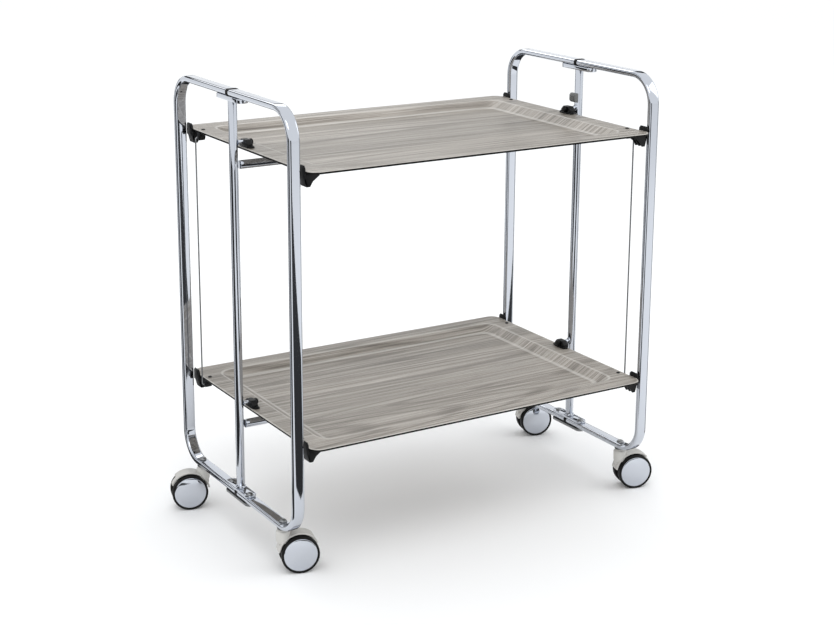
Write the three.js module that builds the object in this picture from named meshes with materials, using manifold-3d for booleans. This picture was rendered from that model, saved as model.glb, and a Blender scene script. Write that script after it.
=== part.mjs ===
// Folding two-tier serving trolley: chromed end frames, two tilting trays, twin-wheel casters.
// Millimetres, +Z up. The origin lies on the floor under the middle of the trolley:
// X runs along the trays, Y across them, the front is -Y.
import * as THREE from "three";
import { mergeVertices } from "three/addons/utils/BufferGeometryUtils.js";
import Module from "manifold-3d";

const wasm = await Module();
wasm.setup();

// ---- Driving dimensions ----
const GAP = 0.3; // between pieces that touch
const LOOP_X = 336; // middle of the trolley to the middle plane of each end frame
const LOOP_Y = 205.5; // and to the middle of its upright tubes
const TUBE_WIDE = 20; // tube section along X
const TUBE_THIN = 10; // tube section in the plane of the end frame
const TUBE_EDGE_R = 4;
const TOP_Z = 745; // middle of the top tube
const BOTTOM_Z = 79; // middle of the bottom tube
const BEND_R = 48;
const CAP_LENGTH = 7; // black cap between the two halves of an end frame

const PLATE_LENGTH = 86; // joint plates that carry the pins of the half frames
const PLATE_THICK = 3;
const PIN_Y = 33;
const PIN_R = 3;
const PIN_HEAD_R = 5.5;
const CLAMP_THICK = 5;

const POST_R = 7;
const BAR_R = 7;
const BAR_DROP = 27; // tray rim down to the middle of its cross bar
const BAR_X = 327.5; // half length

const TRAYS = { upper: 656, lower: 224 }; // height of each rim
const TRAY_X = 319.5; // half length
const TRAY_Y = 227; // half depth
const TRAY_R = 18;
const RIM_WIDE = 34;
const SLOPE_WIDE = 20;
const DISH_DEPTH = 12;
const SHEET = 4;
const PIVOT_RISE = 9; // rim up to the pivot pin of the tray

const SADDLE_X = 205;
const SADDLE_LENGTH = 34;
const GUSSET_Y = 201;
const GUSSET_WIDE = 22;
const WEB_THICK = 4;
const BLOCK_WIDE = 28;
const CLIP_Y = 172;
const CLIP_DROP = 12; // rim down to the rod's pivot
const ROD_R = 1.3;
const ROD_X = 323.9;
const LATCH_Z = 675; // underside of the latch on the right post

const CASTER_Y = 152;
const CASTER_TRAIL = 25;
const CASTER_TURN = -16; // degrees from +X to where the wheels trail; one is turned outward
const WHEEL_R = 31;
const WHEEL_WIDE = 12;
const WHEEL_Y = 12; // middle of the caster to the middle of each wheel
const WEB_WIDE = 11;
const WHEEL_SIDES = 32;
const AXLE_R = 3;
const STEM_R = 4;
const COVER_THICK = 2.7; // curved cover over the wheels
const COVER_GAP = 1.5;

const AXLE_Z = WHEEL_R * Math.cos(Math.PI / WHEEL_SIDES); // a facet of the tread lies on the floor

// ---- Materials ----
const material = (color, roughness, metalness) =>
  new THREE.MeshStandardMaterial({ color, roughness, metalness });
const chrome = () => material(0xd9dde2, 0.12, 1);
const darkSteel = () => material(0x4b5056, 0.4, 0.8);
const blackPlastic = () => material(0x141416, 0.5, 0);
const greyPlastic = () => material(0xb4b4b0, 0.5, 0);
const laminate = () => material(0x9a938a, 0.45, 0);
const tyre = () => material(0x1b1b1d, 0.7, 0);

// ---- Solids ----
function toManifold(geometry) {
  const bare = geometry.clone();
  for (const name of Object.keys(bare.attributes)) {
    if (name !== "position") bare.deleteAttribute(name);
  }
  const merged = mergeVertices(bare, 1e-4);
  const all = Array.from(merged.index.array);
  const corners = [];
  for (let i = 0; i < all.length; i += 3) {
    const [a, b, c] = all.slice(i, i + 3);
    if (a !== b && b !== c && c !== a) corners.push(a, b, c);
  }
  return new wasm.Manifold(new wasm.Mesh({
    numProp: 3,
    vertProperties: new Float32Array(merged.attributes.position.array),
    triVerts: new Uint32Array(corners),
  }));
}

function toGeometry(solid) {
  const mesh = solid.getMesh();
  const geometry = new THREE.BufferGeometry();
  geometry.setAttribute("position", new THREE.BufferAttribute(new Float32Array(mesh.vertProperties), 3));
  geometry.setIndex(new THREE.BufferAttribute(new Uint32Array(mesh.triVerts), 1));
  return geometry;
}

const join = (...geometries) => toGeometry(geometries.map(toManifold).reduce((a, b) => a.add(b)));
const cut = (body, ...tools) =>
  toGeometry(tools.map(toManifold).reduce((a, b) => a.subtract(b), toManifold(body)));

const moved = (geometry, x, y, z) => geometry.clone().translate(x, y, z);
const mirroredX = (points) => points.map(([x, z]) => [-x, z]).reverse();

function cylinderZ(radius, low, high, sides = 16) {
  return new THREE.CylinderGeometry(radius, radius, high - low, sides)
    .rotateX(Math.PI / 2).translate(0, 0, (low + high) / 2);
}

function cylinderX(radius, low, high, sides = 16) {
  return new THREE.CylinderGeometry(radius, radius, high - low, sides)
    .rotateZ(Math.PI / 2).translate((low + high) / 2, 0, 0);
}

function boxBetween(low, high) {
  const size = high.map((value, i) => value - low[i]);
  const middle = high.map((value, i) => (value + low[i]) / 2);
  return new THREE.BoxGeometry(...size).translate(...middle);
}

function roundedRectangle(width, height, radius) {
  const shape = new THREE.Shape();
  const [x, y, r] = [width / 2, height / 2, radius];
  shape.moveTo(-x + r, -y);
  shape.lineTo(x - r, -y);
  shape.absarc(x - r, -y + r, r, -Math.PI / 2, 0);
  shape.lineTo(x, y - r);
  shape.absarc(x - r, y - r, r, 0, Math.PI / 2);
  shape.lineTo(-x + r, y);
  shape.absarc(-x + r, y - r, r, Math.PI / 2, Math.PI);
  shape.lineTo(-x, -y + r);
  shape.absarc(-x + r, -y + r, r, Math.PI, Math.PI * 1.5);
  return shape;
}

// A flat outline in the X-Z plane, thickened along Y about the middle.
function plateXZ(points, thickness) {
  const shape = new THREE.Shape(points.map(([x, z]) => new THREE.Vector2(x, z)));
  return new THREE.ExtrudeGeometry(shape, { depth: thickness, bevelEnabled: false })
    .rotateX(Math.PI / 2).translate(0, thickness / 2, 0);
}

// ---- Half frames ----
// One half runs from the top joint out, down the upright and back to the bottom joint.
function halfFramePath() {
  const path = new THREE.CurvePath();
  const start = CAP_LENGTH / 2 + GAP;
  const corner = LOOP_Y - BEND_R;
  const at = (y, z) => new THREE.Vector3(0, y, z);
  const bend = (z, from, to) => {
    const steps = 6;
    const points = Array.from({ length: steps + 1 }, (_, i) => {
      const angle = from + ((to - from) * i) / steps;
      return at(corner + BEND_R * Math.cos(angle), z + BEND_R * Math.sin(angle));
    });
    points.slice(1).forEach((point, i) => path.add(new THREE.LineCurve3(points[i], point)));
  };
  path.add(new THREE.LineCurve3(at(start, TOP_Z), at(corner, TOP_Z)));
  bend(TOP_Z - BEND_R, Math.PI / 2, 0);
  path.add(new THREE.LineCurve3(at(LOOP_Y, TOP_Z - BEND_R), at(LOOP_Y, BOTTOM_Z + BEND_R)));
  bend(BOTTOM_Z + BEND_R, 0, -Math.PI / 2);
  path.add(new THREE.LineCurve3(at(corner, BOTTOM_Z), at(start, BOTTOM_Z)));
  return path;
}

// Rings of the tube's section, one at each corner of the path, closed at both ends.
function sweptTube(path) {
  const corners = [path.curves[0].v1, ...path.curves.map((curve) => curve.v2)];
  const outline = roundedRectangle(TUBE_WIDE, TUBE_THIN, TUBE_EDGE_R).getPoints(2);
  outline.pop();
  const sides = outline.length;
  const positions = [];
  corners.forEach((corner, i) => {
    const before = corner.clone().sub(corners[Math.max(i - 1, 0)]).normalize();
    const after = corners[Math.min(i + 1, corners.length - 1)].clone().sub(corner).normalize();
    const along = before.clone().add(after).normalize();
    const stretch = i > 0 && i < corners.length - 1 ? 1 / along.dot(before) : 1;
    const outward = new THREE.Vector3(0, -along.z, along.y).multiplyScalar(stretch);
    for (const point of outline) {
      positions.push(point.x, corner.y + outward.y * point.y, corner.z + outward.z * point.y);
    }
  });
  const index = [];
  for (let ring = 0; ring < corners.length - 1; ring += 1) {
    for (let i = 0; i < sides; i += 1) {
      const [a, b] = [ring * sides + i, ring * sides + ((i + 1) % sides)];
      index.push(a, b + sides, b, a, a + sides, b + sides);
    }
  }
  const last = (corners.length - 1) * sides;
  for (let i = 1; i < sides - 1; i += 1) {
    index.push(0, i, i + 1, last, last + i + 1, last + i);
  }
  const geometry = new THREE.BufferGeometry();
  geometry.setAttribute("position", new THREE.Float32BufferAttribute(positions, 3));
  geometry.setIndex(index);
  return geometry;
}

function halfFrame() {
  const hole = (radius) => cylinderZ(radius, -2 * TUBE_THIN, 2 * TUBE_THIN, 12);
  return cut(
    sweptTube(halfFramePath()),
    moved(hole(PIN_R + GAP), 0, PIN_Y, TOP_Z),
    moved(hole(PIN_R + GAP), 0, PIN_Y, BOTTOM_Z),
    moved(hole(STEM_R + GAP), 0, CASTER_Y, BOTTOM_Z),
  );
}

function jointCap() {
  return new THREE.ExtrudeGeometry(roundedRectangle(TUBE_WIDE, TUBE_THIN, TUBE_EDGE_R), {
    depth: CAP_LENGTH, bevelEnabled: false, curveSegments: 2,
  }).rotateX(Math.PI / 2).translate(0, CAP_LENGTH / 2, 0);
}

// ---- Joint plates, pins, posts and cross bars ----
// A plate with its underside at Z = 0 and a hole for each pin.
function jointPlate(thickness) {
  const plate = new THREE.ExtrudeGeometry(roundedRectangle(TUBE_WIDE, PLATE_LENGTH, 8), {
    depth: thickness, bevelEnabled: false, curveSegments: 4,
  });
  const hole = cylinderZ(PIN_R + GAP, -1, thickness + 1, 12);
  return cut(plate, moved(hole, 0, -PIN_Y, 0), moved(hole, 0, PIN_Y, 0));
}

// A rivet through the tube and its plates: a dome below, and above either a dome or a flush end.
function framePin(low, high, domed) {
  const head = [[PIN_HEAD_R, high + GAP], [PIN_HEAD_R, high + 0.8], [3, high + 2.8], [0, high + 3.2]];
  const profile = [
    [0, low - 3.2], [3, low - 2.8], [PIN_HEAD_R, low - 0.8], [PIN_HEAD_R, low - GAP],
    [PIN_R, low - GAP], [PIN_R, domed ? high + GAP : high], ...(domed ? head : [[0, high]]),
  ].map(([r, z]) => new THREE.Vector2(r, z));
  return new THREE.LatheGeometry(profile, 12).rotateX(Math.PI / 2);
}

// Upright tube with the two pins the trays turn on.
function post(side) {
  const low = BOTTOM_Z + TUBE_THIN / 2 + PLATE_THICK + 2 * GAP;
  const high = TOP_Z - TUBE_THIN / 2 - PLATE_THICK - 2 * GAP;
  const reach = 311 - LOOP_X;
  const pins = Object.values(TRAYS).map((z) => {
    const pin = side > 0 ? cylinderX(PIN_R, reach, 0, 12) : cylinderX(PIN_R, 0, -reach, 12);
    return pin.translate(0, 0, z + PIVOT_RISE);
  });
  return join(cylinderZ(POST_R, low, high, 20), ...pins);
}

function crossBar() {
  return cylinderX(BAR_R, -BAR_X, BAR_X, 16);
}

// ---- Trays ----
// A dished sheet: flat rim, sloped sides, flat floor, the same outlines again one sheet lower.
function tray() {
  const outline = (inset, radius) =>
    roundedRectangle(2 * (TRAY_X - inset), 2 * (TRAY_Y - inset), radius).getPoints(5).slice(0, -1);
  const floorInset = RIM_WIDE + SLOPE_WIDE;
  const rings = [
    [outline(RIM_WIDE + SLOPE_WIDE, 16), -DISH_DEPTH],
    [outline(RIM_WIDE, 24), 0],
    [outline(0, TRAY_R), 0],
    [outline(0, TRAY_R), -SHEET],
    [outline(RIM_WIDE - 1, 24), -SHEET],
    [outline(floorInset - 1, 16), -DISH_DEPTH - SHEET],
  ];
  const sides = rings[0][0].length;
  const positions = rings.flatMap(([points, z]) => points.flatMap((point) => [point.x, point.y, z]));
  const index = [];
  for (let ring = 0; ring < rings.length - 1; ring += 1) {
    for (let i = 0; i < sides; i += 1) {
      const [a, b] = [ring * sides + i, ring * sides + ((i + 1) % sides)];
      index.push(a, b + sides, b, a, a + sides, b + sides);
    }
  }
  const last = (rings.length - 1) * sides;
  for (let i = 1; i < sides - 1; i += 1) {
    index.push(0, i, i + 1, last, last + i + 1, last + i);
  }
  const geometry = new THREE.BufferGeometry();
  geometry.setAttribute("position", new THREE.Float32BufferAttribute(positions, 3));
  geometry.setIndex(index);
  return geometry;
}

// Ring round the cross bar with a foot that carries the tray's floor.
function saddle() {
  const top = BAR_DROP - DISH_DEPTH - SHEET - GAP;
  const body = boxBetween([-SADDLE_LENGTH / 2, -13, -11], [SADDLE_LENGTH / 2, 13, top]);
  return cut(body, cylinderX(BAR_R + GAP, -SADDLE_LENGTH, SADDLE_LENGTH, 16));
}

// Corner clip: a lug against the tray's short edge and a web under the rim.
function gusset(side) {
  const edge = TRAY_X + GAP;
  const outer = 322;
  const lug = boxBetween([edge, -GUSSET_WIDE / 2, -CLIP_DROP], [outer, GUSSET_WIDE / 2, 8]);
  const under = -SHEET - GAP;
  const web = plateXZ([
    [edge + 1, under], [edge + 1, -CLIP_DROP], [TRAY_X - 2, -25], [TRAY_X - 8, -25],
    [TRAY_X - 24, -9], [TRAY_X - 24, under],
  ].reverse(), WEB_THICK);
  const solid = join(lug, web);
  return side > 0 ? solid : solid.rotateZ(Math.PI);
}

// Block on the rim beside the post, bored for the post's pin, a knob on its inner face.
function rimBlock(side) {
  const half = BLOCK_WIDE / 2;
  const block = boxBetween([308.5, -half, GAP], [319.2, half, 13]);
  const foot = boxBetween([304, -half - 4, GAP], [316, half + 4, 3]);
  const knob = cylinderX(4.5, 304, 309, 16).translate(0, 0, PIVOT_RISE - 1);
  const bore = cylinderX(PIN_R + GAP, 310.5, 330, 16).translate(0, 0, PIVOT_RISE);
  const solid = cut(join(block, foot, knob), bore);
  return side > 0 ? solid : solid.rotateZ(Math.PI);
}

// Block under the rim that holds one end of a link rod.
function rodClip(side) {
  const block = boxBetween([308, -5, -CLIP_DROP - 5], [319.2, 5, -SHEET - GAP]);
  const bore = cylinderX(ROD_R + 0.4, 309.5, 330, 10).translate(0, 0, -CLIP_DROP);
  const solid = cut(block, bore);
  return side > 0 ? solid : solid.rotateZ(Math.PI);
}

function linkRod(side) {
  const length = TRAYS.upper - TRAYS.lower;
  const hook = cylinderX(ROD_R, 310.5, ROD_X, 10);
  const upright = cylinderZ(ROD_R, -length - ROD_R, ROD_R, 10).translate(ROD_X, 0, 0);
  const solid = join(upright, hook, hook.clone().translate(0, 0, -length));
  return side > 0 ? solid : solid.rotateZ(Math.PI);
}

// ---- Latch ----
function latch() {
  const face = LOOP_X - POST_R - GAP;
  const body = boxBetween([face - 7.2, -8.5, 0], [face, 8.5, 16]);
  const groove = boxBetween([face - 8, -5, 6], [face - 6, 5, 10]);
  return cut(body, groove);
}

// ---- Casters ----
// Seen along the axle: stem at X = 0, wheels trailing toward +X.
function hood() {
  const arc = (radius, from, to, steps) => Array.from({ length: steps + 1 }, (_, i) => {
    const angle = THREE.MathUtils.degToRad(from + ((to - from) * i) / steps);
    return [CASTER_TRAIL + radius * Math.cos(angle), AXLE_Z + radius * Math.sin(angle)];
  });
  const inside = WHEEL_R + COVER_GAP;
  const outside = inside + COVER_THICK;
  const coverWide = 2 * WHEEL_Y - 1;
  const cover = plateXZ([...arc(outside, 48, 172, 14), ...arc(inside, 172, 48, 14)], coverWide);
  const web = plateXZ([...arc(inside + 1, 24, 137, 9), [-9, 52], [-9, 44], [4, 22], [CASTER_TRAIL + 14, 22]], WEB_WIDE);
  const housing = cylinderZ(10, 46, 71, 20);
  const stemTop = BOTTOM_Z + TUBE_THIN / 2 + GAP;
  const profile = [
    [0, 60], [STEM_R, 60], [STEM_R, stemTop], [6, stemTop],
    [6, stemTop + 1.5], [4.5, stemTop + 3.5], [0, stemTop + 4.5],
  ].map(([r, z]) => new THREE.Vector2(r, z));
  const stem = new THREE.LatheGeometry(profile, 14).rotateX(Math.PI / 2);
  const wheelRoom = (sign) => new THREE.CylinderGeometry(WHEEL_R + 1.4, WHEEL_R + 1.4, 30, 40)
    .translate(CASTER_TRAIL, sign * (WEB_WIDE / 2 + 15), AXLE_Z);
  const bore = new THREE.CylinderGeometry(AXLE_R + 0.4, AXLE_R + 0.4, 40, 16)
    .translate(CASTER_TRAIL, 0, AXLE_Z);
  return cut(join(web, cover, cut(housing, wheelRoom(1), wheelRoom(-1)), stem), bore);
}

// Two wheels on one axle, about Y: shouldered treads and shallow domed outer faces.
function wheelPair() {
  const [inner, outer] = [WHEEL_Y - WHEEL_WIDE / 2, WHEEL_Y + WHEEL_WIDE / 2];
  const half = [
    [AXLE_R, inner], [WHEEL_R - 2, inner], [WHEEL_R, inner + 2], [WHEEL_R, outer - 2],
    [WHEEL_R - 2.5, outer - 0.4], [WHEEL_R - 5, outer - 1], [12, outer], [0, outer + 0.3],
  ];
  const profile = [...half.map(([r, y]) => [r, -y]).reverse(), ...half]
    .map(([r, y]) => new THREE.Vector2(r, y));
  return new THREE.LatheGeometry(profile, WHEEL_SIDES).rotateY(Math.PI / WHEEL_SIDES);
}

// ---- Assembly ----
const trolley = new THREE.Group();
trolley.name = "serving_trolley";

function place(parent, name, geometry, surface, x = 0, y = 0, z = 0) {
  const mesh = new THREE.Mesh(geometry, surface);
  mesh.name = name;
  mesh.position.set(x, y, z);
  parent.add(mesh);
  return mesh;
}

const SIDES = { left: -1, right: 1 };
const ENDS = { front: -1, back: 1 };
const TUBE_TOPS = { top: TOP_Z, bottom: BOTTOM_Z };

for (const [side, sx] of Object.entries(SIDES)) {
  const x = sx * LOOP_X;
  const underTop = TOP_Z - TUBE_THIN / 2 - GAP - PLATE_THICK;
  const overBottom = BOTTOM_Z + TUBE_THIN / 2 + GAP;
  const underBottom = BOTTOM_Z - TUBE_THIN / 2 - GAP - CLAMP_THICK;
  for (const [end, sy] of Object.entries(ENDS)) {
    const half = place(trolley, `${side}_${end}_half_frame`, halfFrame(), chrome(), x);
    if (sy < 0) half.rotation.z = Math.PI;
    const topPin = framePin(underTop, TOP_Z + TUBE_THIN / 2, false);
    const bottomPin = framePin(underBottom, overBottom + PLATE_THICK, true);
    place(trolley, `${side}_${end}_top_pin`, topPin, darkSteel(), x, sy * PIN_Y);
    place(trolley, `${side}_${end}_bottom_pin`, bottomPin, darkSteel(), x, sy * PIN_Y);
  }
  for (const [level, z] of Object.entries(TUBE_TOPS)) {
    place(trolley, `${side}_${level}_cap`, jointCap(), blackPlastic(), x, 0, z);
  }
  place(trolley, `${side}_top_plate`, jointPlate(PLATE_THICK), chrome(), x, 0, underTop);
  place(trolley, `${side}_bottom_plate`, jointPlate(PLATE_THICK), chrome(), x, 0, overBottom);
  place(trolley, `${side}_clamp_plate`, jointPlate(CLAMP_THICK), darkSteel(), x, 0, underBottom);
  place(trolley, `${side}_post`, post(sx), chrome(), x);
}
place(trolley, "latch", latch(), greyPlastic(), 0, 0, LATCH_Z);

for (const [tier, z] of Object.entries(TRAYS)) {
  place(trolley, `${tier}_cross_bar`, crossBar(), chrome(), 0, 0, z - BAR_DROP);
  place(trolley, `${tier}_tray`, tray(), laminate(), 0, 0, z);
  for (const [side, sx] of Object.entries(SIDES)) {
    place(trolley, `${tier}_${side}_saddle`, saddle(), blackPlastic(), sx * SADDLE_X, 0, z - BAR_DROP);
    place(trolley, `${tier}_${side}_rim_block`, rimBlock(sx), blackPlastic(), 0, 0, z);
    place(trolley, `${tier}_${side}_rod_clip`, rodClip(sx), blackPlastic(), 0, -sx * CLIP_Y, z);
    for (const [end, sy] of Object.entries(ENDS)) {
      const name = `${tier}_${side}_${end}_gusset`;
      place(trolley, name, gusset(sx), blackPlastic(), 0, sy * GUSSET_Y, z);
    }
  }
}
for (const [side, sx] of Object.entries(SIDES)) {
  const z = TRAYS.upper - CLIP_DROP;
  place(trolley, `${side}_link_rod`, linkRod(sx), chrome(), 0, -sx * CLIP_Y, z);
}

for (const [side, sx] of Object.entries(SIDES)) {
  for (const [end, sy] of Object.entries(ENDS)) {
    const turnedOut = side === "left" && end === "back";
    const caster = new THREE.Group();
    caster.position.set(sx * LOOP_X, sy * CASTER_Y, 0);
    caster.rotation.z = THREE.MathUtils.degToRad(CASTER_TURN + (turnedOut ? 180 : 0));
    trolley.add(caster);
    place(caster, `${side}_${end}_caster`, hood(), greyPlastic());
    place(caster, `${side}_${end}_wheels`, wheelPair(), tyre(), CASTER_TRAIL, 0, AXLE_Z);
  }
}

export default trolley;
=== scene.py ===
import math

import bmesh
import bpy
from mathutils import Matrix, Vector


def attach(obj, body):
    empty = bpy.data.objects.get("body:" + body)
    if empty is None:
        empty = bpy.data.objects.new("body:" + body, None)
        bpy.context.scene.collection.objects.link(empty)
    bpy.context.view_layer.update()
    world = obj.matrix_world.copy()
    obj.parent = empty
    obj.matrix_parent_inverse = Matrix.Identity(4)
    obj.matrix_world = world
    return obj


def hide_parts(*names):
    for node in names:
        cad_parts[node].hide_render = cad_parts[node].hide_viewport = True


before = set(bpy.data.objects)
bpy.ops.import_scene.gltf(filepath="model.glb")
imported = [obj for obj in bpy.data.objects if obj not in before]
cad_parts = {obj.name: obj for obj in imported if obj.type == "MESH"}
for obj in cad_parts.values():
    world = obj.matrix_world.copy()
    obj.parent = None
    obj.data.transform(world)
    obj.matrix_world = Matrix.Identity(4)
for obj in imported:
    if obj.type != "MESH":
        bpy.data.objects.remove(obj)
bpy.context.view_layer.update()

# ---- Dimensions, in millimetres, as in the CAD part ----
LOOP_X = 336
LOOP_Y = 205.5
TUBE_WIDE = 20
TUBE_THIN = 10
TUBE_EDGE_R = 4.2
TOP_Z = 745
BOTTOM_Z = 79
BEND_R = 48
CAP_HALF = 3.5
PLATE_HALF = 43
PIN_Y = 33
POST_R = 7
BAR_R = 7
BAR_DROP = 27
BAR_X = 327.5
RIMS = {"upper": 656, "lower": 224}
TRAY_X = 319.5
TRAY_Y = 227
RIM_WIDE = 34
SLOPE_WIDE = 20
DISH_DEPTH = 12
SHEET = 4
PIVOT_RISE = 9
SADDLE_X = 205
GUSSET_Y = 201
CLIP_Y = 172
CLIP_DROP = 12
ROD_R = 1.3
ROD_X = 323.9
LATCH_Z = 675
CASTER_Y = 152
CASTER_TRAIL = 25
CASTER_TURN = -16
WHEEL_R = 31
WHEEL_Y = 12
WHEEL_WIDE = 12
AXLE_Z = 30.85  # a little under WHEEL_R, as the CAD wheels rest on a flat of their rim
MM = 0.001
SIDES = {"left": -1, "right": 1}
ENDS = {"front": -1, "back": 1}


# ---- Materials ----
class Shader:
    """A material with its Principled shader and short ways to add nodes and links."""

    def __init__(self, name, **values):
        self.material = bpy.data.materials.new(name)
        self.material.use_nodes = True
        self.tree = self.material.node_tree
        self.out = next(n for n in self.tree.nodes if n.type == "BSDF_PRINCIPLED")
        for key, value in values.items():
            self.set(key.replace("_", " "), value)

    def set(self, socket, value):
        self.out.inputs[socket].default_value = value

    def node(self, kind, **settings):
        made = self.tree.nodes.new(kind)
        for key, value in settings.items():
            if key in made.inputs:
                made.inputs[key].default_value = value
            else:
                setattr(made, key, value)
        return made

    def link(self, source, target):
        self.tree.links.new(source, target)

    def coords(self, scale=(1, 1, 1)):
        place = self.node("ShaderNodeMapping")
        place.inputs["Scale"].default_value = scale
        self.link(self.node("ShaderNodeTexCoord").outputs["Object"], place.inputs["Vector"])
        return place.outputs["Vector"]

    def noise(self, scale, stretch=(1, 1, 1), detail=3, roughness=0.55, distortion=0.0):
        made = self.node("ShaderNodeTexNoise")
        for key, value in (("Scale", scale), ("Detail", detail), ("Roughness", roughness),
                           ("Distortion", distortion)):
            made.inputs[key].default_value = value
        self.link(self.coords(stretch), made.inputs["Vector"])
        return made.outputs["Fac"]

    def math(self, operation, a, b=0.0):
        made = self.node("ShaderNodeMath", operation=operation)
        for socket, value in zip(made.inputs, (a, b)):
            if isinstance(value, (int, float)):
                socket.default_value = value
            else:
                self.link(value, socket)
        return made.outputs[0]

    def ramp(self, source, *stops):
        made = self.node("ShaderNodeValToRGB")
        points = made.color_ramp.elements
        while len(points) < len(stops):
            points.new(0.5)
        for point, (position, colour) in zip(points, stops):
            point.position = position
            point.color = (*colour, 1)
        self.link(source, made.inputs["Fac"])
        return made.outputs["Color"]

    def spread(self, source, low, high):
        made = self.node("ShaderNodeMapRange")
        made.inputs["To Min"].default_value = low
        made.inputs["To Max"].default_value = high
        self.link(source, made.inputs["Value"])
        return made.outputs["Result"]

    def mix(self, factor, a, b, blend="MIX"):
        made = self.node("ShaderNodeMix", data_type="RGBA", blend_type=blend)
        for socket, value in ((made.inputs[0], factor), (made.inputs[6], a), (made.inputs[7], b)):
            if isinstance(value, (int, float)):
                socket.default_value = value
            elif isinstance(value, tuple):
                socket.default_value = (*value, 1)
            else:
                self.link(value, socket)
        return made.outputs[2]

    def bump(self, height, strength, distance):
        made = self.node("ShaderNodeBump")
        made.inputs["Strength"].default_value = strength
        made.inputs["Distance"].default_value = distance
        self.link(height, made.inputs["Height"])
        self.link(made.outputs["Normal"], self.out.inputs["Normal"])

    def into(self, source, socket):
        self.link(source, self.out.inputs[socket])
        return self


def chrome_finish():
    """Bright plating: faint polish haze and a slow ripple in the surface."""
    made = Shader("chrome", Metallic=1.0, Base_Color=(0.56, 0.585, 0.635, 1))
    haze = made.noise(60, detail=4)
    made.into(made.spread(haze, 0.02, 0.07), "Roughness")
    made.bump(made.noise(14, detail=2), 0.05, 0.0006)
    return made.material


def zinc_finish():
    """Dull plated steel, cloudy and lightly grained."""
    made = Shader("zinc", Metallic=0.85)
    cloud = made.noise(90, detail=5, roughness=0.7)
    metal = made.ramp(cloud, (0.3, (0.20, 0.205, 0.21)), (0.75, (0.34, 0.345, 0.35)))
    made.into(metal, "Base Color")
    made.into(made.spread(cloud, 0.28, 0.46), "Roughness")
    made.bump(made.noise(900, detail=3), 0.12, 0.0002)
    return made.material


def plastic_finish(name, dark, light, rough, grain):
    """Moulded plastic: even colour, slight flow marks, fine spark grain."""
    made = Shader(name, Specular_IOR_Level=0.22)
    flow = made.noise(35, stretch=(1, 1, 0.4), detail=3)
    made.into(made.ramp(flow, (0.3, dark), (0.7, light)), "Base Color")
    made.into(made.spread(made.noise(420, detail=4), rough - 0.06, rough + 0.08), "Roughness")
    made.bump(made.noise(2600, detail=2), grain, 0.00015)
    return made.material


def tread_finish():
    """Black tyre rubber with faint scuffs."""
    made = Shader("tread", Specular_IOR_Level=0.18)
    scuff = made.noise(160, detail=6, roughness=0.7)
    rubber = made.ramp(scuff, (0.35, (0.003, 0.003, 0.003)), (0.8, (0.009, 0.009, 0.009)))
    made.into(rubber, "Base Color")
    made.into(made.spread(scuff, 0.42, 0.68), "Roughness")
    made.bump(made.noise(1500, detail=3), 0.15, 0.0002)
    return made.material


def laminate_finish():
    """Grey-taupe oak: broad growth figures, straight streaks and short dark pores along X; a painted
    highlight lightens the fillets and the rolled edge.
    """
    made = Shader("laminate", Specular_IOR_Level=0.4, Coat_Weight=0.08, Coat_Roughness=0.25)
    field = made.noise(1.5, stretch=(0.26, 4.6, 1), detail=1.5, roughness=0.35, distortion=0.12)
    rings = made.math("SINE", made.math("MULTIPLY", field, 190))
    figure = made.math("MULTIPLY", made.math("ADD", rings, 1), 0.5)
    streak = made.noise(9, stretch=(0.30, 34, 0.3), detail=7, roughness=0.72)
    broad = made.noise(2.0, stretch=(0.5, 9, 1), detail=3)
    fine = made.noise(22, stretch=(0.28, 52, 0.3), detail=5, roughness=0.7)
    base = made.ramp(
        streak,
        (0.36, (0.205, 0.180, 0.152)), (0.5, (0.385, 0.350, 0.310)), (0.64, (0.560, 0.522, 0.476)),
    )
    tone = made.ramp(broad, (0.36, (0.74, 0.74, 0.73)), (0.66, (1.0, 1.0, 1.0)))
    colour = made.mix(1.0, base, tone, "MULTIPLY")
    lines = made.ramp(figure, (0.0, (0.40, 0.38, 0.35)), (0.34, (1, 1, 1)), (1.0, (1, 1, 1)))
    colour = made.mix(0.50, colour, lines, "MULTIPLY")
    pores = made.ramp(fine, (0.36, (0.30, 0.28, 0.25)), (0.49, (1, 1, 1)))
    colour = made.mix(0.90, colour, pores, "MULTIPLY")
    # Painted highlight: where the mesh attribute is high (the fillet rings and the rolled rim edge), the
    # colour is lifted towards a pale grey and broken up by noise. This stands in for the gloss highlight
    # along these curves.
    highlight_attr = made.node("ShaderNodeAttribute", attribute_name="painted_highlight")
    highlight_breakup = made.spread(made.noise(7, detail=1), 0.55, 0.9)
    highlight_amount = made.math("MULTIPLY", made.math("MULTIPLY", highlight_attr.outputs["Fac"], highlight_breakup), 0.62)
    colour = made.mix(highlight_amount, colour, (0.68, 0.66, 0.62))
    made.into(colour, "Base Color")
    made.into(made.spread(fine, 0.48, 0.34), "Roughness")
    made.bump(made.math("ADD", fine, made.math("MULTIPLY", figure, 0.25)), 0.16, 0.0004)
    return made.material


def edge_finish():
    """The dark sealed edge of the trays."""
    made = Shader("cut_edge", Specular_IOR_Level=0.15)
    plies = made.noise(40, stretch=(1, 1, 30), detail=3)
    dark = made.ramp(plies, (0.4, (0.003, 0.003, 0.003)), (0.7, (0.010, 0.009, 0.008)))
    made.into(dark, "Base Color")
    made.into(made.spread(plies, 0.45, 0.6), "Roughness")
    return made.material


CHROME = chrome_finish()
ZINC = zinc_finish()
BLACK = plastic_finish("black_plastic", (0.0028, 0.0028, 0.003), (0.006, 0.006, 0.0065), 0.40, 0.22)
GREY = plastic_finish("grey_plastic", (0.50, 0.49, 0.465), (0.58, 0.57, 0.545), 0.40, 0.12)
LATCH_GREY = plastic_finish("latch_plastic", (0.12, 0.123, 0.12), (0.17, 0.173, 0.17), 0.42, 0.15)
TREAD = tread_finish()
LAMINATE = laminate_finish()
CUT_EDGE = edge_finish()


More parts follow.
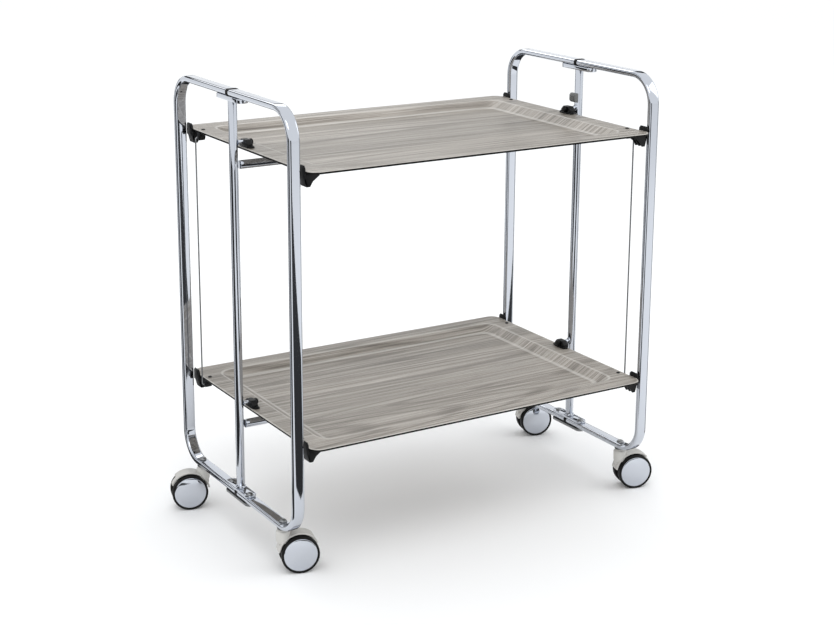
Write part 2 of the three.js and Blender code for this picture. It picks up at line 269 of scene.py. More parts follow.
# ---- Building meshes ----
def ring_faces(rings, count):
    """Faces between rings of points that follow one another, each ring of the same count."""
    faces = []
    for ring in range(rings - 1):
        for i in range(count):
            a, b = ring * count + i, ring * count + (i + 1) % count
            faces.append((a, b, b + count, a + count))
    return faces


def end_faces(rings, count):
    """The two faces that close the first and the last ring."""
    total = rings * count
    return [tuple(range(count)), tuple(range(total - 1, total - count - 1, -1))]


def prism_faces(count):
    """Faces of a solid made of two rings."""
    return end_faces(2, count) + ring_faces(2, count)


def piece(name, verts, faces, material, smooth=32, place=None):
    """A mesh object from points in millimetres, smooth except where faces meet sharply."""
    data = bpy.data.meshes.new(name)
    move = place or Matrix.Identity(4)
    data.from_pydata([move @ (Vector(v) * MM) for v in verts], [], faces)
    data.validate()
    made = bmesh.new()
    made.from_mesh(data)
    bmesh.ops.recalc_face_normals(made, faces=made.faces)
    made.to_mesh(data)
    made.free()
    data.shade_smooth()
    data.set_sharp_from_angle(angle=math.radians(smooth))
    data.materials.append(material)
    obj = bpy.data.objects.new(name, data)
    bpy.context.scene.collection.objects.link(obj)
    return obj


def finish_piece(obj, body, slot, *nodes):
    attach(obj, body)
    if nodes:
        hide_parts(*nodes)
    return obj


def joined(first, *others):
    """One object from several that share a material list."""
    with bpy.context.temp_override(active_object=first, selected_editable_objects=[first, *others]):
        bpy.ops.object.join()
    return first


def bevelled(name, verts, faces, material, width, segments=3, place=None, angle=25):
    """As piece, with every sharp edge rounded to the given width."""
    shape = bmesh.new()
    points = [shape.verts.new(v) for v in verts]
    for face in faces:
        shape.faces.new([points[i] for i in face])
    bmesh.ops.recalc_face_normals(shape, faces=shape.faces)
    sharp = [e for e in shape.edges if e.calc_face_angle(0) > math.radians(angle)]
    bmesh.ops.bevel(
        shape, geom=sharp, offset=width, segments=segments, profile=0.5,
        affect="EDGES", clamp_overlap=True,
    )
    shape.verts.index_update()
    out = piece(
        name, [v.co[:] for v in shape.verts], [[v.index for v in f.verts] for f in shape.faces],
        material, 40, place,
    )
    shape.free()
    return out


def box(name, low, high, material, width=0.8, place=None):
    """A block between two corners, with rounded edges."""
    verts = [(x, y, z) for x in (low[0], high[0]) for y in (low[1], high[1]) for z in (low[2], high[2])]
    faces = [(0, 1, 3, 2), (4, 6, 7, 5), (0, 4, 5, 1), (2, 3, 7, 6), (0, 2, 6, 4), (1, 5, 7, 3)]
    return bevelled(name, verts, faces, material, width, place=place)


def slab(name, outline, low, high, material, width=0.8, axis="Z", place=None):
    """A flat outline, thickened from low to high along an axis: (x, y) for Z, (x, z) for Y."""
    count = len(outline)
    if axis == "Z":
        verts = [(a, b, h) for h in (low, high) for a, b in outline]
    else:
        verts = [(a, h, b) for h in (low, high) for a, b in outline]
    return bevelled(name, verts, prism_faces(count), material, width, place=place, angle=40)


def rounded(width, height, radius, steps=6):
    """Points of a rounded rectangle about the middle, anticlockwise."""
    points = []
    for sx, sy, start in ((1, 1, 0), (-1, 1, 90), (-1, -1, 180), (1, -1, 270)):
        for i in range(steps + 1):
            a = math.radians(start + 90 * i / steps)
            points.append((sx * (width / 2 - radius) + radius * math.cos(a),
                           sy * (height / 2 - radius) + radius * math.sin(a)))
    return points


def turned(name, profile, material, segments=40, place=None, axis="Z", smooth=32):
    """A profile of (radius, height) turned about an axis; radius 0 closes an end."""
    verts, rings = [], []
    for r, h in profile:
        if r < 1e-6:
            rings.append([len(verts)])
            verts.append((0, 0, h))
            continue
        rings.append(list(range(len(verts), len(verts) + segments)))
        for i in range(segments):
            a = 2 * math.pi * i / segments
            verts.append((r * math.cos(a), r * math.sin(a), h))
    faces = []
    for low, high in zip(rings, rings[1:]):
        for i in range(segments):
            a, b = i, (i + 1) % segments
            if len(low) == 1 and len(high) == 1:
                break
            if len(low) == 1:
                faces.append((low[0], high[b], high[a]))
            elif len(high) == 1:
                faces.append((low[a], low[b], high[0]))
            else:
                faces.append((low[a], low[b], high[b], high[a]))
    if len(rings[0]) > 1 and profile[0] != profile[-1]:
        faces.append(tuple(reversed(rings[0])))
        faces.append(tuple(rings[-1]))
    if axis == "X":
        verts = [(h, x, y) for x, y, h in verts]
    elif axis == "Y":
        verts = [(y, h, x) for x, y, h in verts]
    return piece(name, verts, faces, material, smooth, place)


def rod(name, radius, low, high, material, axis="Z", place=None, segments=32):
    """A round bar with its ends rounded over."""
    chamfer = 0.6
    profile = [(0, low), (radius - chamfer, low), (radius - chamfer * 0.3, low + chamfer * 0.3),
               (radius, low + chamfer), (radius, high - chamfer),
               (radius - chamfer * 0.3, high - chamfer * 0.3), (radius - chamfer, high), (0, high)]
    return turned(name, profile, material, segments, place, axis)


def swept(name, path, outline, material, side, place=None):
    """An outline carried along a flat path, square to it. side is the axis square to the plane."""
    verts = []
    side = Vector(side)
    for i, point in enumerate(path):
        before = (path[i] - path[i - 1]).normalized() if i else (path[1] - path[0]).normalized()
        after = (path[i + 1] - path[i]).normalized() if i + 1 < len(path) else before
        along = (before + after).normalized()
        out = along.cross(side) / max(along.dot(before), 0.5)
        verts += [tuple(point + side * a + out * b) for a, b in outline]
    count = len(outline)
    faces = ring_faces(len(path), count) + end_faces(len(path), count)
    return piece(name, verts, faces, material, 32, place)


def at(x=0, y=0, z=0, turn=0, flip=False):
    """Where a piece goes, from millimetres; flip turns it half round to face the other side."""
    spin = Matrix.Rotation(math.radians(turn + (180 if flip else 0)), 4, "Z")
    return Matrix.Translation(Vector((x, y, z)) * MM) @ spin


def screw(name, x, y, z, material=BLACK, radius=3.4, height=1.6, place=None):
    """A low domed head with a dip in the middle, crossed by two raised bars."""
    move = (place or Matrix.Identity(4)) @ at(x, y, z)
    profile = [(radius, -0.6), (radius, height * 0.35), (radius * 0.86, height * 0.75),
               (radius * 0.55, height), (radius * 0.30, height), (radius * 0.26, height * 0.35),
               (0, height * 0.35)]
    head = turned(name, profile, material, 24, move)
    slots = [box("slot", (-radius * 0.62, -0.35, height * 0.7), (radius * 0.62, 0.35, height * 1.02),
                 material, 0.1, move @ Matrix.Rotation(math.radians(45 + 90 * i), 4, "Z"))
             for i in range(2)]
    return joined(head, *slots)


# ---- End frames ----
TUBE_OUTLINE = rounded(TUBE_WIDE, TUBE_THIN, TUBE_EDGE_R, 7)
TUBE_GAP = 5.3  # from a tube's middle to the plates on it
PLATE_THICK = 3
CLAMP_THICK = 5
POST_INSET = 8.6  # from a tube's middle to the end of the post
PIVOT_PINS = [(3.0, -4), (3.0, 24.2), (2.6, 24.8), (0, 25)]
PIVOT_SPACER = [(3.2, 6.4), (5.4, 6.6), (5.4, 7.4), (4.6, 8.0), (3.2, 8.0)]


def half_frame_path():
    """The middle line of one half frame: top tube, bend, upright, bend, bottom tube."""
    corner = LOOP_Y - BEND_R
    start = CAP_HALF + 0.3
    steps = 14
    path = [Vector((0, start, TOP_Z)), Vector((0, corner * 0.5, TOP_Z))]
    for middle, first in ((TOP_Z - BEND_R, 90), (BOTTOM_Z + BEND_R, 0)):
        for i in range(steps + 1):
            a = math.radians(first - 90 * i / steps)
            path.append(Vector((0, corner + BEND_R * math.cos(a), middle + BEND_R * math.sin(a))))
    path += [Vector((0, corner * 0.5, BOTTOM_Z)), Vector((0, start, BOTTOM_Z))]
    return path


def end_plug(z, place):
    """The black plug pressed into the open end of a half frame."""
    outline = rounded(TUBE_WIDE - 3, TUBE_THIN - 3, 2.6, 5)
    verts = [(a, y, z + b) for y in (CAP_HALF - 0.6, CAP_HALF + 4) for a, b in outline]
    return piece("plug", verts, prism_faces(len(outline)), BLACK, 32, place)


def joint_cap(name, z, place):
    """Collar between the halves, crowned so its edges stand just proud."""
    verts = []
    rings = [(-CAP_HALF, 0.0), (-CAP_HALF + 0.4, 0.7), (-1.2, 0.8), (-0.7, 0.4), (0.7, 0.4),
             (1.2, 0.8), (CAP_HALF - 0.4, 0.7), (CAP_HALF, 0.0)]
    for y, grow in rings:
        outline = rounded(TUBE_WIDE + 2 * grow, TUBE_THIN + 2 * grow, TUBE_EDGE_R, 6)
        verts += [(a, y, z + b) for a, b in outline]
    count = len(verts) // len(rings)
    faces = ring_faces(len(rings), count) + end_faces(len(rings), count)
    return piece(name, verts, faces, BLACK, 40, place)


def channel_plate(name, low, high, skirt, place):
    """A joint plate with rounded ends and a folded skirt, which hangs down or stands up."""
    outline = rounded(TUBE_WIDE, 2 * PLATE_HALF, 9.5, 8)
    inner = rounded(TUBE_WIDE - 3, 2 * PLATE_HALF - 3, 8, 8)
    count = len(outline)
    base, far = (high, low) if skirt < 0 else (low, high)
    edge = base + skirt
    rings = [(outline, base), (outline, edge), (inner, edge), (inner, far)]
    verts = [(x, y, z) for ring, z in rings for x, y in ring]
    faces = end_faces(4, count) + ring_faces(4, count)
    return bevelled(name, verts, faces, CHROME, 0.5, 2, place, 50)


def rivet(name, low, high, domed, place):
    """Domed below; above it is domed too, or ends flush in the tube's wall."""
    head = [(0, -3.0), (1.6, -2.8), (3.4, -2.2), (4.8, -1.2), (5.5, -0.1), (5.5, 0.2)]
    profile = [(r, low + h) for r, h in head] + [(3, low + 0.2), (3, high - 0.2)]
    profile += [(r, high - h) for r, h in reversed(head)] if domed else [(2.7, high), (0, high)]
    return turned(name, profile, ZINC, 28, place)


def build_end_frame(side, sx):
    """Two half frames with their plugs, rivets and stem seats; collars, plates, clamp and post."""
    x = sx * LOOP_X
    for end, sy in ENDS.items():
        place = at(x, flip=sy < 0)
        half = swept(f"{side}_{end}_half_frame_tube", half_frame_path(), TUBE_OUTLINE, CHROME,
                     (1, 0, 0), place)
        finish_piece(half, "frame", "chrome", f"{side}_{end}_half_frame")
        plugs = joined(end_plug(TOP_Z, place), end_plug(BOTTOM_Z, place))
        plugs.name = f"{side}_{end}_tube_plugs"
        finish_piece(plugs, "frame", "black_plastic")
        pin_at = at(x, sy * PIN_Y)
        top = rivet(f"{side}_{end}_top_rivet", TOP_Z - 8.3, TOP_Z + 4.6, False, pin_at)
        finish_piece(top, "frame", "dark_steel", f"{side}_{end}_top_pin")
        bottom = rivet(f"{side}_{end}_bottom_rivet", BOTTOM_Z - 10.3, BOTTOM_Z + 8.3, True, pin_at)
        finish_piece(bottom, "frame", "dark_steel", f"{side}_{end}_bottom_pin")
        ring = [(5.2, -6.2), (9.2, -6.2), (9.6, -5.7), (9.6, -4.9), (5.2, -4.9), (5.2, -6.2)]
        seat = turned(f"{side}_{end}_stem_seat", [(r, BOTTOM_Z + h) for r, h in ring], ZINC, 32,
                      at(x, sy * CASTER_Y))
        finish_piece(seat, "frame", "dark_steel")
    for level, z in (("top", TOP_Z), ("bottom", BOTTOM_Z)):
        collar = joint_cap(f"{side}_{level}_collar", z, at(x))
        finish_piece(collar, "frame", "black_plastic", f"{side}_{level}_cap")
    under = TOP_Z - TUBE_GAP
    plate = channel_plate(f"{side}_top_channel", under - PLATE_THICK, under, -7, at(x))
    finish_piece(plate, "frame", "chrome", f"{side}_top_plate")
    over = BOTTOM_Z + TUBE_GAP
    plate = channel_plate(f"{side}_bottom_channel", over, over + PLATE_THICK, 3.4, at(x))
    finish_piece(plate, "frame", "chrome", f"{side}_bottom_plate")
    below = BOTTOM_Z - TUBE_GAP
    clamp = slab(f"{side}_clamp_bar", rounded(TUBE_WIDE, 2 * PLATE_HALF, 9, 8),
                 below - CLAMP_THICK, below, ZINC, 1.2, place=at(x))
    finish_piece(clamp, "frame", "dark_steel", f"{side}_clamp_plate")
    pad = slab(f"{side}_clamp_pad", rounded(TUBE_WIDE + 1, 2 * PLATE_HALF - 8, 6, 6),
               below - 0.1, below + 1.0, BLACK, 0.3, place=at(x))
    finish_piece(pad, "frame", "black_plastic")
    build_post(side, sx)


def build_post(side, sx):
    """Round post with a pivot pin and spacer for each tray, and a collar at each end."""
    x = sx * LOOP_X
    low, high = BOTTOM_Z + POST_INSET, TOP_Z - POST_INSET
    tube = rod(f"{side}_post_tube", POST_R, low, high, CHROME, place=at(x), segments=48)
    pins = []
    for z in RIMS.values():
        pivot = at(x, 0, z + PIVOT_RISE, flip=sx > 0)
        pins.append(turned("pivot", PIVOT_PINS, CHROME, 24, pivot, "X"))
        pins.append(turned("spacer", PIVOT_SPACER, CHROME, 24, pivot, "X"))
    tube = joined(tube, *pins)
    finish_piece(tube, "frame", "chrome", f"{side}_post")
    inside, outside = POST_R + 0.1, POST_R + 1.6
    feet = []
    for z, step in ((low, 4), (high, -4)):
        foot = [(inside, z), (outside, z), (outside, z + step * 0.6), (POST_R + 0.9, z + step),
                (inside, z + step)]
        feet.append(turned("foot", foot, CHROME, 40, at(x)))
    ring = joined(*feet)
    ring.name = f"{side}_post_collars"
    finish_piece(ring, "frame", "chrome")


# ---- Trays ----
def tray_profile():
    """Inset, height, corner radius and painted highlight strength along the sheet, from the dish's floor
    to the edge.
    """
    floor = RIM_WIDE + SLOPE_WIDE
    slope = math.atan2(DISH_DEPTH, SLOPE_WIDE)
    rings = [(floor + 40, -DISH_DEPTH, 14, 0.0), (floor + 9, -DISH_DEPTH, 15, 0.0)]
    radius = 16
    reach = radius * math.tan(slope / 2)
    for i in range(6):
        a = slope * i / 5
        rings.append((floor + reach - radius * math.sin(a), -DISH_DEPTH + radius * (1 - math.cos(a)),
                      17, math.sin(math.pi * i / 5)))
    radius = 9
    reach = radius * math.tan(slope / 2)
    for i in range(6):
        a = slope * (1 - i / 5)
        rings.append((RIM_WIDE - reach + radius * math.sin(a), -radius * (1 - math.cos(a)), 24,
                      math.sin(math.pi * i / 5)))
    rings += [(22, 0, 22, 0.0), (9, 0, 19, 0.0), (2.4, 0, 18, 0.0), (1.2, 0, 18, 1.0),
              (0.35, -0.12, 18, 1.0), (0.0, -0.9, 18, 1.0)]
    return rings


def ring_points(inset, z, radius):
    """The tray's outline drawn in by an inset, at a height."""
    outline = rounded(2 * (TRAY_X - inset), 2 * (TRAY_Y - inset), radius, 8)
    return [(x, y, z) for x, y in outline]


def build_tray(tier, rim):
    """One sheet: its top, its dark edge, then its underside, which follows the top."""
    top = tray_profile()
    edge_first, edge_last = len(top) - 1, len(top) + 1
    rolled = 4  # rings at the top's end that round the edge and have no match below
    rings = top + [(0.0, -1.2, 18, 0), (0.0, -SHEET + 0.5, 18, 0), (0.4, -SHEET, 18, 0)]
    rings += [(max(inset - 0.8, 1.0), z - SHEET, r, 0) for inset, z, r, _ in reversed(top[:-rolled])]
    verts, painted_highlights = [], []
    for inset, z, radius, painted_highlight in rings:
        points = ring_points(inset, rim + z, radius)
        verts += points
        painted_highlights += [painted_highlight] * len(points)
    count = len(verts) // len(rings)
    faces = ring_faces(len(rings), count) + end_faces(len(rings), count)
    dark = [edge_first <= ring <= edge_last for ring in range(len(rings) - 1) for _ in range(count)]
    dark += [False, False]
    obj = piece(f"{tier}_tray_sheet", verts, faces, LAMINATE, 45)
    obj.data.materials.append(CUT_EDGE)
    for polygon, is_dark in zip(obj.data.polygons, dark):
        polygon.material_index = 1 if is_dark else 0
    # The fourth value of each ring is its painted highlight strength. It is stored per point for the
    # laminate shader to lighten.
    attribute = obj.data.attributes.new("painted_highlight", "FLOAT", "POINT")
    attribute.data.foreach_set("value", painted_highlights)
    finish_piece(obj, f"{tier}_tray_body", "laminate", f"{tier}_tray")


def build_under_tray(tier, rim):
    """The cross bar and the two saddles that hold it to the tray."""
    body = f"{tier}_tray_body"
    z = rim - BAR_DROP
    bar = rod(f"{tier}_bar", BAR_R, -BAR_X + 1.2, BAR_X - 1.2, CHROME, "X", at(0, 0, z), 40)
    finish_piece(bar, body, "chrome", f"{tier}_cross_bar")
    for side, sx in SIDES.items():
        place = at(sx * SADDLE_X, 0, z)
        top = BAR_DROP - DISH_DEPTH - SHEET - 0.3
        outline = [(-13, top), (-13, top - 3.2), (-9.6, top - 4.4)]
        outline += [(10.6 * math.cos(math.radians(a)), 10.6 * math.sin(math.radians(a)))
                    for a in range(160, 381, 20)]
        outline += [(9.6, top - 4.4), (13, top - 3.2), (13, top)]
        ring = slab(f"{tier}_{side}_saddle_body", outline, -17, 17, BLACK, 0.7, "Y",
                    place @ Matrix.Rotation(math.radians(90), 4, "Z"))
        finish_piece(ring, body, "black_plastic", f"{tier}_{side}_saddle")


def build_corner(tier, rim, side, sx, end, sy):
    """Corner clip: lug on the tray's short edge, ribbed web below, screw in the rim above."""
    body = f"{tier}_tray_body"
    place = at(0, sy * GUSSET_Y, rim, flip=sx < 0)
    lug_top = [(-11, -12), (11, -12), (11, 4), (7.5, 8), (-7.5, 8), (-11, 4)]
    verts = [(x, y, z) for x in (TRAY_X + 0.3, TRAY_X + 2.5) for y, z in lug_top]
    lug = bevelled("lug", verts, prism_faces(len(lug_top)), BLACK, 0.5, place=place)
    under = -SHEET - 0.3
    web_outline = [(TRAY_X + 1.3, under), (TRAY_X + 1.3, -12), (TRAY_X - 2, -25), (TRAY_X - 8, -25),
                   (TRAY_X - 13, -17), (TRAY_X - 24, -9), (TRAY_X - 24, under)]
    ribs = [slab("rib", web_outline, y - 1.1, y + 1.1, BLACK, 0.4, "Y", place) for y in (-8.2, 0, 8.2)]
    back_outline = [(TRAY_X + 1.3, under), (TRAY_X + 1.3, -12), (TRAY_X - 2, -25), (TRAY_X - 4, -25),
                    (TRAY_X - 1, -12), (TRAY_X - 1, under)]
    back = slab("back", back_outline, -9.3, 9.3, BLACK, 0.4, "Y", place)
    pad = box("pad", (TRAY_X - 26, -9.3, under - 2), (TRAY_X, 9.3, under), BLACK, 0.5, place)
    clip = joined(lug, back, pad, *ribs)
    clip.name = f"{tier}_{side}_{end}_corner_clip"
    finish_piece(clip, body, "black_plastic", f"{tier}_{side}_{end}_gusset")
    head = screw(f"{tier}_{side}_{end}_corner_screw", 310, -sy * sx * 30, 0, place=place)
    finish_piece(head, body, "black_plastic")


def build_rim_block(tier, rim, side, sx):
    """Pivot block beside the post: stepped body, ribbed turning knob, flanged foot, two screws."""
    body = f"{tier}_tray_body"
    place = at(0, 0, rim, flip=sx < 0)
    step = [(-14, 0.4), (14, 0.4), (14, 7), (9.5, 11.5), (8, 13), (-8, 13), (-9.5, 11.5), (-14, 7)]
    verts = [(x, y, z) for x in (308.5, 319.2) for y, z in step]
    core = bevelled("core", verts, prism_faces(len(step)), BLACK, 0.9, place=place)
    sole = [(305, -7), (307, -17), (314, -18), (318, -14), (318, 14), (314, 18), (307, 17), (305, 7)]
    foot = slab("foot", sole, 0.35, 3.0, BLACK, 0.7, place=place)
    knob_place = place @ at(0, 0, PIVOT_RISE - 1)
    profile = [(0, 302.6), (3.2, 302.6), (4.3, 303.3), (4.6, 304.2), (4.6, 307.4), (3.6, 308.2),
               (3.6, 309.5)]
    knob = turned("knob", profile, BLACK, 28, knob_place, "X")
    rib_count = 10
    ribs = []
    for i in range(rib_count):
        turn = Matrix.Rotation(2 * math.pi * i / rib_count, 4, "X")
        ribs.append(box("rib", (303.9, -0.55, 4.3), (307.5, 0.55, 5.1), BLACK, 0.2, knob_place @ turn))
    block = joined(core, foot, knob, *ribs)
    block.name = f"{tier}_{side}_pivot_block"
    finish_piece(block, body, "black_plastic", f"{tier}_{side}_rim_block")
    for mark, y in (("a", -15.2), ("b", 15.2)):
        head = screw(f"{tier}_{side}_block_screw_{mark}", 311, y, 3.0, BLACK, 2.6, 1.2, place)
        finish_piece(head, body, "dark_steel")


def build_rod_clip(tier, rim, side, sx):
    """Clip under the rim that holds a link rod's hook in a raised eye."""
    place = at(0, -sx * CLIP_Y, rim, flip=sx < 0)
    outline = [(-5.5, -4.3), (-5.5, -12), (-3.4, -16.4), (0, -17.6), (3.4, -16.4), (5.5, -12),
               (5.5, -4.3)]
    verts = [(x, y, z) for x in (308, 319.2) for y, z in outline]
    core = bevelled("core", verts, prism_faces(len(outline)), BLACK, 0.8, place=place)
    ring = [(1.8, 318.5), (3.6, 318.5), (3.9, 319.3), (3.6, 320.2), (1.8, 320.2), (1.8, 318.5)]
    eye = turned("eye", ring, BLACK, 24, place @ at(0, 0, -CLIP_DROP), "X")
    flange = box("flange", (303, -8, -6.2), (319, 8, -4.3), BLACK, 0.6, place)
    clip = joined(core, eye, flange)
    clip.name = f"{tier}_{side}_link_clip"
    finish_piece(clip, f"{tier}_tray_body", "black_plastic", f"{tier}_{side}_rod_clip")


def build_link_rod(side, sx):
    """Thin rod with a bent hook at each end, which turns inward into its clip."""
    top, bottom = RIMS["upper"] - CLIP_DROP, RIMS["lower"] - CLIP_DROP
    bend = 4
    tip = 310.8
    path = [Vector((tip, 0, top)), Vector((ROD_X - bend, 0, top))]
    for i in range(1, 8):
        a = math.radians(90 - 90 * i / 7)
        path.append(Vector((ROD_X - bend + bend * math.cos(a), 0, top - bend + bend * math.sin(a))))
    for i in range(0, 7):
        a = math.radians(-90 * i / 7)
        path.append(Vector((ROD_X - bend + bend * math.cos(a), 0, bottom + bend + bend * math.sin(a))))
    path += [Vector((ROD_X - bend, 0, bottom)), Vector((tip, 0, bottom))]
    sides = 14
    outline = [(ROD_R * math.cos(2 * math.pi * i / sides), ROD_R * math.sin(2 * math.pi * i / sides))
               for i in range(sides)]
    made = swept(f"{side}_link_wire", path, outline, ZINC, (0, 1, 0),
                 at(0, -sx * CLIP_Y, flip=sx < 0))
    finish_piece(made, f"{side}_rod_body", "dark_steel", f"{side}_link_rod")


def build_latch():
    """Small slider on the right post, with four finger ridges."""
    face = LOOP_X - POST_R - 0.3
    place = at(0, 0, LATCH_Z)
    shape = [(face, 0), (face, 16), (face - 4.6, 16), (face - 7.2, 12.5), (face - 7.2, 3.5),
             (face - 4.6, 0)]
    core = slab("core", shape, -8.3, 8.3, LATCH_GREY, 0.8, "Y", place)
    ridges = [box("ridge", (face - 7.9, -6, z), (face - 6.6, 6, z + 1.1), LATCH_GREY, 0.3, place)
              for z in (4.4, 6.6, 8.8, 11.0)]
    made = joined(core, *ridges)
    made.name = "latch_slider"
    finish_piece(made, "latch_body", "grey_plastic", "latch")


# ---- Casters ----
COVER_OUT = 4.2  # the cover's outer and inner faces, measured out from the wheels
COVER_IN = 1.5
COVER_FIRST, COVER_LAST = 48, 172
HOUSING = [(0, 50), (10.4, 50), (11.0, 52), (11.4, 62), (11.4, 67.5), (10.6, 69.2), (8.6, 70.2),
           (8.6, 71.6), (5.6, 72.2), (0, 72.2)]
DISC = [(0, 1.6), (4, 1.54), (8, 1.38), (12, 1.1), (16, 0.7), (20, 0.15), (23, -0.35), (25.4, -0.75),
        (26.6, -1.0), (27.1, -1.3), (27.1, -2.2)]


def arc(radius, first, last, steps=24):
    """Points about the axle, in the plane of a wheel, from one angle to another."""
    turns = [math.radians(first + (last - first) * i / steps) for i in range(steps + 1)]
    return [(CASTER_TRAIL + radius * math.cos(a), AXLE_Z + radius * math.sin(a)) for a in turns]


def build_hood(name, body, place):
    """Cover, web between the wheels, swivel housing and hub in one moulding; the stem above."""
    half = WHEEL_Y - 0.5
    shell = arc(WHEEL_R + COVER_OUT, COVER_FIRST, COVER_LAST)
    shell += arc(WHEEL_R + COVER_IN, COVER_LAST, COVER_FIRST)
    cover = slab("cover", shell, -half, half, GREY, 0.9, "Y", place)
    web_outline = arc(WHEEL_R + 2, 24, 137) + [(-9, 52), (-9, 44), (4, 22), (CASTER_TRAIL + 14, 22)]
    web = slab("web", web_outline, -5.3, 5.3, GREY, 0.8, "Y", place)
    housing = turned("housing", HOUSING, GREY, 40, place)
    hub = turned("hub", [(0, -5.6), (6.4, -5.6), (6.4, 5.6), (0, 5.6)], GREY, 28,
                 place @ at(CASTER_TRAIL, 0, AXLE_Z), "Y")
    made = joined(cover, web, housing, hub)
    made.name = f"{name}_hood"
    profile = [(0, 71), (4, 71), (4, BOTTOM_Z + 5.4), (6.4, BOTTOM_Z + 5.4), (6.4, BOTTOM_Z + 6.3),
               (5.4, BOTTOM_Z + 8.0), (3.2, BOTTOM_Z + 9.2), (0, BOTTOM_Z + 9.6)]
    stem = turned(f"{name}_stem", profile, ZINC, 32, place)
    finish_piece(made, body, "grey_plastic", f"{name}_caster")
    finish_piece(stem, body, "dark_steel")


def build_wheels(name, body, place):
    """Two tyres, each with a domed bright disc set in a groove, joined by a steel axle."""
    centre = place @ at(CASTER_TRAIL, 0, AXLE_Z)
    inner, outer = WHEEL_Y - WHEEL_WIDE / 2, WHEEL_Y + WHEEL_WIDE / 2
    tread = [
        (5.5, inner + 1.6), (9, inner + 1.6), (9.6, inner + 0.4), (25, inner + 0.4), (27.2, inner),
        (29.6, inner + 0.3), (30.7, inner + 1.3), (AXLE_Z, inner + 3), (AXLE_Z, outer - 3),
        (30.7, outer - 1.5), (30.0, outer - 0.5), (28.9, outer - 0.1), (28.0, outer - 0.4),
        (27.6, outer - 1.6), (5.5, outer - 1.6),
    ]
    dome = [(r, outer + h) for r, h in DISC]
    tyres, discs = [], []
    for sign in (-1, 1):
        turn = centre @ Matrix.Rotation(math.radians(0 if sign > 0 else 180), 4, "Z")
        tyres.append(turned("tyre", tread, TREAD, 72, turn, "Y"))
        discs.append(turned("disc", dome, CHROME, 72, turn, "Y"))
    axle = rod("axle", 3, -inner - 2, inner + 2, ZINC, "Y", centre)
    tyre = joined(*tyres)
    tyre.name = f"{name}_tyres"
    finish_piece(tyre, body, "wheel", f"{name}_wheels")
    disc = joined(*discs)
    disc.name = f"{name}_discs"
    finish_piece(disc, body, "chrome")
    axle.name = f"{name}_axle"
    finish_piece(axle, body, "dark_steel")


for side_name, side_sign in SIDES.items():
    build_end_frame(side_name, side_sign)
    build_link_rod(side_name, side_sign)
for tier_name, rim_height in RIMS.items():
    build_tray(tier_name, rim_height)
    build_under_tray(tier_name, rim_height)
    for side_name, side_sign in SIDES.items():
        build_rim_block(tier_name, rim_height, side_name, side_sign)
        build_rod_clip(tier_name, rim_height, side_name, side_sign)
        for end_name, end_sign in ENDS.items():
            build_corner(tier_name, rim_height, side_name, side_sign, end_name, end_sign)
build_latch()
for side_name, side_sign in SIDES.items():
    for end_name, end_sign in ENDS.items():
        outward = side_name == "left" and end_name == "back"
        caster = f"{side_name}_{end_name}"
        spot = at(side_sign * LOOP_X, end_sign * CASTER_Y, 0, CASTER_TURN + (180 if outward else 0))
        build_hood(caster, f"{caster}_caster_body", spot)
        build_wheels(caster, f"{caster}_wheels_body", spot)


# ---- Stage, light and camera ----
FLOOR_HALF = 30000
FLAG_LIFT = 0.0012
FLAG_FAR = 4.2
FLAG_WALL = 0.85
FLAGS = ((-4, 18, 0.5), (-82, 24, 0.5), (126, 20, 0.45), (176, 20, 0.45), (-134, 12, 0.45), (64, 8, 0.6))


def flat_material(name, colour, rough, **values):
    return Shader(name, Roughness=rough, Base_Color=(*colour, 1), **values).material


def heading(direction, distance, z=0.0):
    """A point at a distance in metres; 0 degrees is the front, positive turns to the right."""
    a = math.radians(direction)
    return Vector((math.sin(a) * distance, -math.cos(a) * distance, z)) * 1000


def black_card(name, rows):
    """A black sheet through rows of points, seen only in reflections."""
    count = len(rows[0])
    faces = []
    for row in range(len(rows) - 1):
        for i in range(row * count, (row + 1) * count - 1):
            faces.append((i, i + 1, i + count + 1, i + count))
    card = piece(name, [point for row in rows for point in row], faces, CARD_BLACK)
    card.visible_camera = False
    card.visible_shadow = False
    card.visible_diffuse = False


def dark_flag(name, direction, half, near):
    """A wedge lying on the floor that turns up into a low wall."""
    steps = 6
    turns = [direction - half + 2 * half * i / steps for i in range(steps + 1)]
    edges = ((near, FLAG_LIFT), (FLAG_FAR, FLAG_LIFT), (FLAG_FAR, FLAG_WALL))
    black_card(name, [[heading(a, distance, z) for a in turns] for distance, z in edges])


def high_flag(name, first, last, distance, low, high):
    """A strip hung behind and above, which draws a dark line along level tubes."""
    steps = 12
    turns = [first + (last - first) * i / steps for i in range(steps + 1)]
    black_card(name, [[heading(a, distance, z) for a in turns] for z in (low, high)])


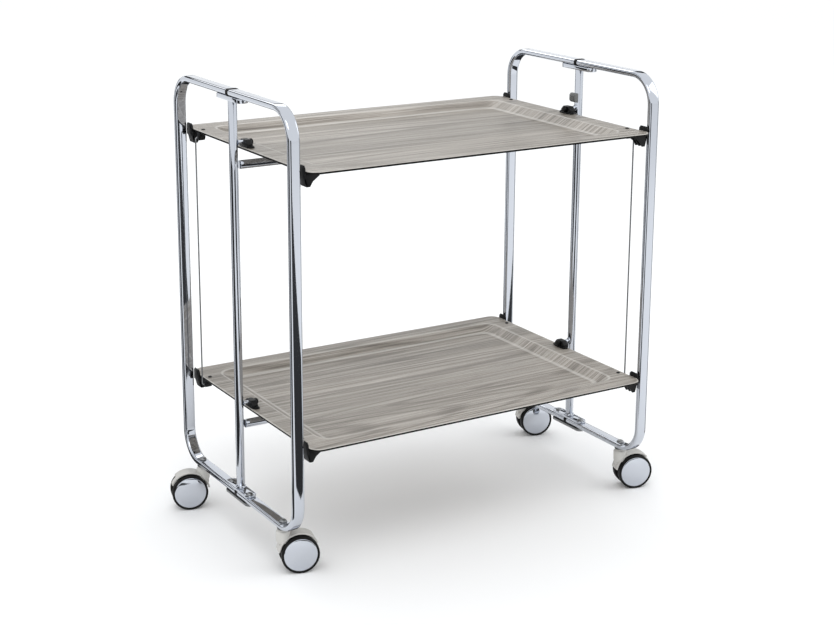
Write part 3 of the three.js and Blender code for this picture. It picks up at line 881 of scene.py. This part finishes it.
FLOOR_WHITE = flat_material("floor_white", (0.95, 0.95, 0.95), 0.6, Specular_IOR_Level=0.0)
CARD_BLACK = flat_material("card_black", (0.004, 0.004, 0.005), 0.9)
corners = [(-FLOOR_HALF, -FLOOR_HALF, 0), (FLOOR_HALF, -FLOOR_HALF, 0), (FLOOR_HALF, FLOOR_HALF, 0),
           (-FLOOR_HALF, FLOOR_HALF, 0)]
floor = piece("floor", corners, [(0, 1, 2, 3)], FLOOR_WHITE)
for number, (direction, half, near) in enumerate(FLAGS):
    dark_flag(f"flag_{number}", direction, half, near)
high_flag("flag_high", 120, 240, 3.4, 1.7, 2.7)

world = bpy.data.worlds.new("studio")
world.use_nodes = True
sky = world.node_tree.nodes["Background"]
sky.inputs["Color"].default_value = (0.97, 0.985, 1.0, 1)
sky.inputs["Strength"].default_value = 1.08
bpy.context.scene.world = world
bpy.context.scene.view_settings.view_transform = "Standard"


def area_light(name, location, size, power):
    """A soft panel that faces the middle of the trolley."""
    target = Vector((0, 0, 0.4))
    data = bpy.data.lights.new(name, "AREA")
    data.shape = "RECTANGLE"
    data.size, data.size_y = size
    data.energy = power
    light = bpy.data.objects.new(name, data)
    light.location = location
    light.rotation_euler = (target - Vector(location)).to_track_quat("-Z", "Y").to_euler()
    bpy.context.scene.collection.objects.link(light)


area_light("key", (-1.6, -2.2, 3.4), (2.4, 1.6), 26)
area_light("fill", (2.6, -1.4, 2.2), (1.6, 2.0), 12)
area_light("back", (0.4, 2.8, 2.6), (2.6, 1.2), 16)

PHOTO_WIDE = 834
FOCAL_PX = 1643.8
SENSOR_WIDE = 36
CAMERA_PLACE = (-1.4137, -2.3064, 1.1496)
CAMERA_TURN = -0.5506
CAMERA_DIP = 0.2478
CAMERA_ROLL = 0.0053
camera_data = bpy.data.cameras.new("photo_camera")
camera_data.sensor_width = SENSOR_WIDE
camera_data.lens = FOCAL_PX / PHOTO_WIDE * SENSOR_WIDE
camera_data.shift_y = -0.087
camera = bpy.data.objects.new("photo_camera", camera_data)
camera.matrix_world = (
    Matrix.Translation(CAMERA_PLACE) @ Matrix.Rotation(CAMERA_TURN, 4, "Z")
    @ Matrix.Rotation(math.pi / 2 - CAMERA_DIP, 4, "X") @ Matrix.Rotation(CAMERA_ROLL, 4, "Z")
)
bpy.context.scene.collection.objects.link(camera)
bpy.context.scene.camera = camera
